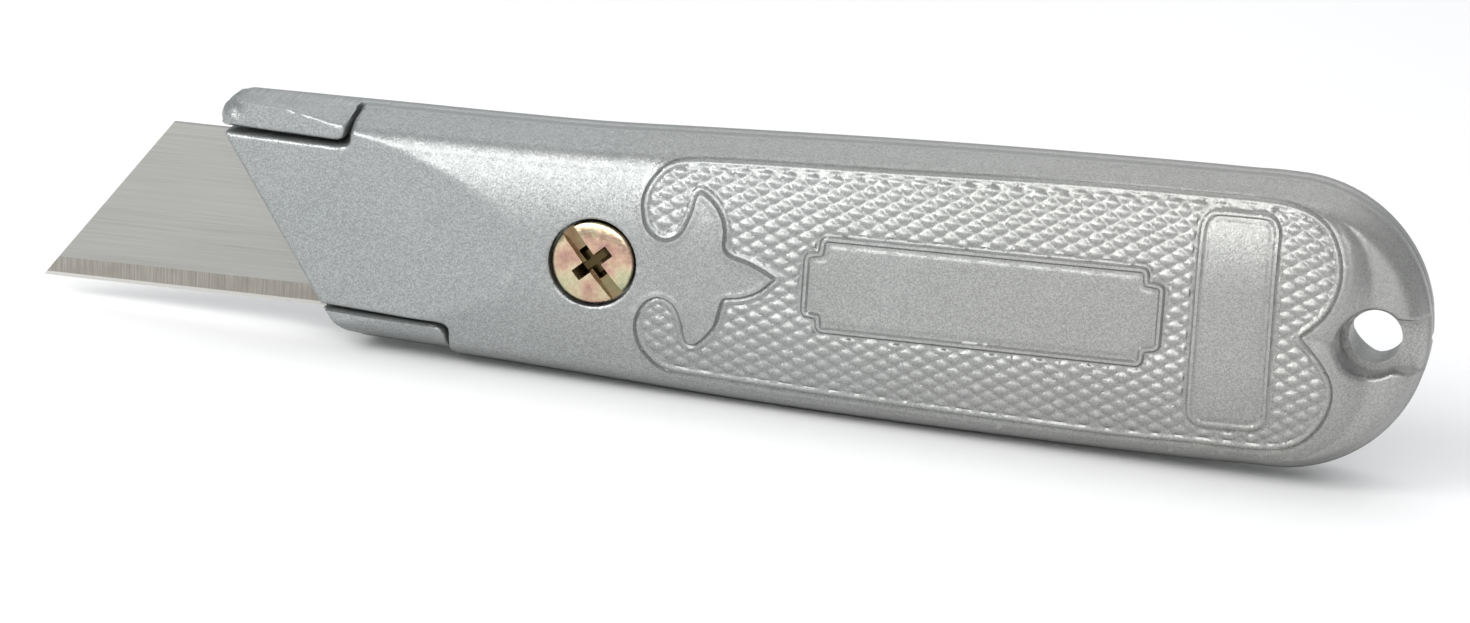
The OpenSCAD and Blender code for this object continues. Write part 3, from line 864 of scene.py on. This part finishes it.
class Tree:
    """Short way to write a material's nodes."""

    def __init__(self, name):
        self.material = bpy.data.materials.new(name)
        self.material.use_nodes = True
        self.nodes, self.links = self.material.node_tree.nodes, self.material.node_tree.links
        self.shader = self.nodes["Principled BSDF"]

    def node(self, kind, inputs=None, **settings):
        n = self.nodes.new("ShaderNode" + kind)
        for key, value in settings.items():
            setattr(n, key, value)
        for key, value in (inputs or {}).items():
            self.put(n.inputs[key], value)
        return n

    def put(self, socket, value):
        if isinstance(value, bpy.types.NodeSocket):
            self.links.new(value, socket)
        else:
            socket.default_value = value

    def math(self, op, a, b):
        return self.node("Math", {0: a, 1: b}, operation=op).outputs[0]

    def ramp(self, value, stops):
        n = self.node("ValToRGB", {"Fac": value})
        elements = n.color_ramp.elements
        while len(elements) < len(stops):
            elements.new(0.5)
        for element, (position, color) in zip(elements, stops):
            element.position = position
            element.color = (*color, 1)
        return n.outputs["Color"]

    def mix(self, fac, a, b):
        return self.node("Mix", {"Factor": fac, "A": a, "B": b}, data_type="RGBA").outputs["Result"]

    def range(self, value, a, b, c, d, smooth=False):
        n = self.node("MapRange", {"Value": value, "From Min": a, "From Max": b, "To Min": c, "To Max": d})
        if smooth:
            n.interpolation_type = "SMOOTHSTEP"
        return n.outputs["Result"]

    def noise(self, vector, scale, detail=2.0, rough=0.5):
        inputs = {"Vector": vector, "Scale": scale, "Detail": detail, "Roughness": rough}
        return self.node("TexNoise", inputs).outputs["Fac"]

    def coords(self):
        return self.node("TexCoord").outputs["Object"]

    def mapped(self, vector, **settings):
        """The vector moved, turned or scaled, as named by the Mapping node's inputs."""
        return self.node("Mapping", {"Vector": vector, **settings}).outputs["Vector"]

    def vector(self, op, a, b=None):
        """Vector maths; b is a number for SCALE and otherwise a vector."""
        n = self.node("VectorMath", {0: a}, operation=op)
        if b is not None:
            self.put(n.inputs["Scale" if op == "SCALE" else 1], b)
        return n.outputs[0]

    def bump(self, height, strength, distance, **before):
        inputs = {"Height": height, "Strength": strength, "Distance": distance, **before}
        return self.node("Bump", inputs).outputs["Normal"]

    def shade(self, **inputs):
        """Sets the shader's inputs, whose names are written with _ for a space."""
        for key, value in inputs.items():
            self.put(self.shader.inputs[key.replace("_", " ")], value)


def cast_silver():
    """Silver paint on a zinc casting: metallic flakes, fine orange peel, lighter high spots, darker hollows
    and lines, and painted shade on the downward-facing belly.
    """
    t = Tree("cast_silver_paint")
    v = t.coords()
    x = t.node("SeparateXYZ", {"Vector": v}).outputs["X"]
    along = t.range(x, -0.055, 0.06, 0.0, 1.0, smooth=True)
    tint = t.mix(along, (0.302, 0.319, 0.318, 1), (0.318, 0.320, 0.307, 1))
    tint = t.mix(t.range(t.noise(v, 90, 3), 0.3, 0.7, 0.0, 0.35), tint, (0.365, 0.368, 0.37, 1))
    flake = t.node("TexVoronoi", {"Vector": v, "Scale": 7800.0}, feature="F1").outputs["Color"]
    chance = t.node("SeparateColor", {"Color": flake})
    spark = t.range(chance.outputs[0], 0.0, 1.0, 0.80, 1.20)
    facing = t.node("SeparateXYZ", {"Vector": t.node("TexCoord").outputs["Normal"]}).outputs["Z"]
    belly_shade = t.range(facing, -0.92, -0.55, 0.66, 1.0)  # painted shade: surfaces facing down are darkened, standing in for the shadowed floor they reflect
    base = t.vector("SCALE", tint, t.math("MULTIPLY", spark, belly_shade))
    point = t.node("NewGeometry").outputs["Pointiness"]
    # lighter on high spots and darker in hollows and lines, by the mesh's pointiness
    raised_lighter, hollow_darker = t.range(point, 0.53, 0.64, 0.0, 0.30), t.range(point, 0.38, 0.48, 0.30, 0.0)
    base = t.mix(raised_lighter, base, (0.56, 0.565, 0.565, 1))
    base = t.mix(hollow_darker, base, (0.14, 0.147, 0.15, 1))
    rough = t.range(t.noise(v, 900, 2), 0.3, 0.7, 0.36, 0.46)
    rough = t.math("ADD", rough, t.range(chance.outputs[1], 0, 1, -0.05, 0.05))
    tilt = t.vector("SCALE", t.vector("SUBTRACT", flake, (0.5, 0.5, 0.5)), 0.18)
    peel = t.bump(t.noise(v, 2600, 3, 0.6), 0.35, 0.00004)
    cast = t.bump(t.noise(v, 420, 2), 0.3, 0.00006, Normal=peel)
    normal = t.vector("NORMALIZE", t.vector("ADD", cast, tilt))
    t.shade(Base_Color=base, Metallic=0.82, Roughness=rough, Normal=normal)
    return t.material


def blade_steel():
    """Carbon steel ground along its length, with a cross-ground bevel and a polished cutting edge whose
    lighter colour is a painted reflection.
    """
    t = Tree("blade_steel")
    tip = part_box("working_blade")[0]
    moved = t.mapped(t.coords(), Location=(-tip.x, 0, -tip.z))
    v = t.mapped(moved, Rotation=(0, BLADE_SLOPE, 0))  # along and across the blade, from its tip
    height = t.node("SeparateXYZ", {"Vector": v}).outputs["Z"]
    lines = t.noise(t.mapped(v, Scale=(60, 400, 5200)), 1.0, 5, 0.62)
    bands = t.noise(t.mapped(v, Scale=(18, 100, 900)), 1.0, 3, 0.55)
    grind = t.noise(t.mapped(v, Scale=(5200, 400, 160)), 1.0, 4, 0.6)
    patch = t.noise(v, 420, 3)
    bevel_mask = t.range(height, (BEVEL - 0.04) * MM, (BEVEL + 0.04) * MM, 1.0, 0.0)
    # painted reflection: the fine cutting edge is coloured lighter, standing in for the bright floor it
    # reflects
    edge_reflection = t.range(height, (MICRO_BEVEL - 0.02) * MM, (MICRO_BEVEL + 0.04) * MM, 1.0, 0.0)
    flat = t.mix(t.range(lines, 0.3, 0.7, 0.0, 1.0), (0.315, 0.315, 0.295, 1), (0.415, 0.415, 0.395, 1))
    flat = t.mix(t.range(bands, 0.35, 0.65, 0.0, 0.5), flat, (0.385, 0.385, 0.365, 1))
    ground = t.mix(t.range(grind, 0.3, 0.7, 0.0, 1.0), (0.24, 0.228, 0.205, 1), (0.44, 0.42, 0.38, 1))
    ground = t.mix(t.range(patch, 0.45, 0.7, 0.0, 0.6), ground, (0.29, 0.272, 0.24, 1))
    base = t.mix(edge_reflection, t.mix(bevel_mask, flat, ground), (0.62, 0.61, 0.58, 1))
    flat_rough, ground_rough = t.range(lines, 0.25, 0.75, 0.30, 0.44), t.range(grind, 0.25, 0.75, 0.34, 0.5)
    rough = t.mix(bevel_mask, flat_rough, ground_rough)
    normal = t.bump(t.mix(bevel_mask, lines, grind), 0.35, 0.00002)
    t.shade(Base_Color=base, Metallic=1.0, Roughness=rough, Normal=normal)
    return t.material


def yellow_zinc():
    """Yellow chromate zinc: gold film shifting to pink and green, darker and duller in the recesses from
    painted shade.
    """
    t = Tree("yellow_zinc_plate")
    v = t.coords()
    swirl = t.noise(v, 260, 3, 0.6)
    film = t.ramp(t.range(swirl, 0.32, 0.68, 0.0, 1.0), [
        (0.0, (0.42, 0.25, 0.22)), (0.25, (0.55, 0.37, 0.28)), (0.5, (0.62, 0.52, 0.36)),
        (0.75, (0.57, 0.55, 0.36)), (1.0, (0.40, 0.44, 0.30))])
    film = t.mix(t.range(t.noise(v, 2400, 3), 0.4, 0.7, 0.0, 0.3), film, (0.28, 0.17, 0.09, 1))
    inset = t.node("SeparateXYZ", {"Vector": v}).outputs["Y"]
    # painted shade: the slot and the cross recess darken with depth, to near black at the bottom of the
    # cross
    deep = t.range(inset, (TOP + 0.55) * MM, (TOP + 0.95) * MM, 0.0, 0.75)
    film = t.mix(deep, film, (0.13, 0.095, 0.035, 1))
    pit_shade = t.range(inset, (TOP + 1.05) * MM, (TOP + 1.5) * MM, 0.0, 0.85)
    film = t.mix(pit_shade, film, (0.05, 0.033, 0.012, 1))
    rough = t.range(t.noise(v, 1300, 3), 0.3, 0.7, 0.14, 0.30)
    t.shade(Base_Color=film, Metallic=1.0, Roughness=rough, Normal=t.bump(t.noise(v, 700, 2), 0.6, 0.00009))
    return t.material


def pale_floor():
    t = Tree("pale_floor")
    cloud = t.range(t.noise(t.coords(), 6, 2), 0.3, 0.7, 0.0, 1.0)
    t.shade(
        Base_Color=t.mix(cloud, (0.90, 0.90, 0.91, 1), (0.93, 0.93, 0.93, 1)), Roughness=0.75,
        Specular_IOR_Level=0.15, Emission_Color=(1, 1, 1, 1), Emission_Strength=0.02)
    return t.material


silver, steel, zinc = cast_silver(), blade_steel(), yellow_zinc()
dressing = [
    (near, silver, "screw_side", "handle_screw_side", "cast_silver"),
    (far, silver, "hook_side", "handle_hook_side", "cast_silver"),
    (screw, zinc, "screw", "clamp_screw", "yellow_zinc"),
    (blades["working_blade"], steel, "blade", "working_blade", "blade_steel")]
dressing += [
    (blades[f"spare_blade_{i}"], steel, f"spare_{i}", f"spare_blade_{i}", "blade_steel") for i in SPARES]
for ob, mat, body, node, slot_name in dressing:
    ob.data.materials.clear()
    ob.data.materials.append(mat)
    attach(ob, body)
    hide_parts(node)

# ---------------------------------------------------------------- floor, light, camera

bm = bmesh.new()
bmesh.ops.create_grid(bm, x_segments=2, y_segments=2, size=4.0)
floor_mesh = bpy.data.meshes.new("floor")
bm.to_mesh(floor_mesh)
bm.free()
floor = bpy.data.objects.new("floor", floor_mesh)
floor.location.z = -0.02 * MM
floor_mesh.materials.append(pale_floor())
bpy.context.scene.collection.objects.link(floor)

world = bpy.data.worlds.new("studio")
world.use_nodes = True
world.node_tree.nodes["Background"].inputs["Color"].default_value = (0.97, 0.985, 1.0, 1)
world.node_tree.nodes["Background"].inputs["Strength"].default_value = 0.56
bpy.context.scene.world = world

MIDDLE = Vector((0, 0, 0.015))  # the lights aim here and stand 1 m away


def direction(azimuth, elevation):
    """Unit vector; azimuth 0 is in front of the screw side, positive to the right."""
    a, e = azimuth, elevation
    return Vector((math.sin(a) * math.cos(e), -math.cos(a) * math.cos(e), math.sin(e)))


def area(name, azimuth, elevation, size, energy, color=(1, 1, 1)):
    """Rectangular light in a direction given in degrees."""
    toward = direction(math.radians(azimuth), math.radians(elevation))
    data = bpy.data.lights.new(name, "AREA")
    data.shape, data.size, data.size_y = "RECTANGLE", *size
    data.energy, data.color = energy, color
    ob = bpy.data.objects.new(name, data)
    ob.location = MIDDLE + toward
    ob.rotation_euler = (-toward).to_track_quat("-Z", "Y").to_euler()
    bpy.context.scene.collection.objects.link(ob)


area("key", -40, 35, (0.5, 0.5), 4.8, (1.0, 0.99, 0.97))
area("low_front", 0, 18, (1.0, 0.25), 1.4)
area("front", 0, 31, (1.0, 0.3), 3.9)
area("over", 180, 75, (1.0, 0.35), 1.5)
area("rear", 180, 40, (1.0, 0.4), 1.3)

AZIMUTH, ELEVATION, ROLL = math.radians(9.549), math.radians(14.0), math.radians(5.864)
TARGET, DISTANCE = Vector((1.18, 0, 9.276)) * MM, 0.745144
back = direction(AZIMUTH, ELEVATION)
right = (-back).cross(Vector((0, 0, 1))).normalized()
up = right.cross(-back)
cam_x = right * math.cos(ROLL) + up * math.sin(ROLL)
cam_y = -right * math.sin(ROLL) + up * math.cos(ROLL)
camera_data = bpy.data.cameras.new("camera")
camera_data.sensor_width = 36.0
camera_data.lens = 165.64
camera_data.clip_start = 0.01
camera = bpy.data.objects.new("camera", camera_data)
turn = Matrix((cam_x, cam_y, back)).transposed().to_4x4()
camera.matrix_world = Matrix.Translation(TARGET + back * DISTANCE) @ turn
bpy.context.scene.collection.objects.link(camera)
bpy.context.scene.camera = camera
bpy.context.scene.view_settings.view_transform = "Standard"
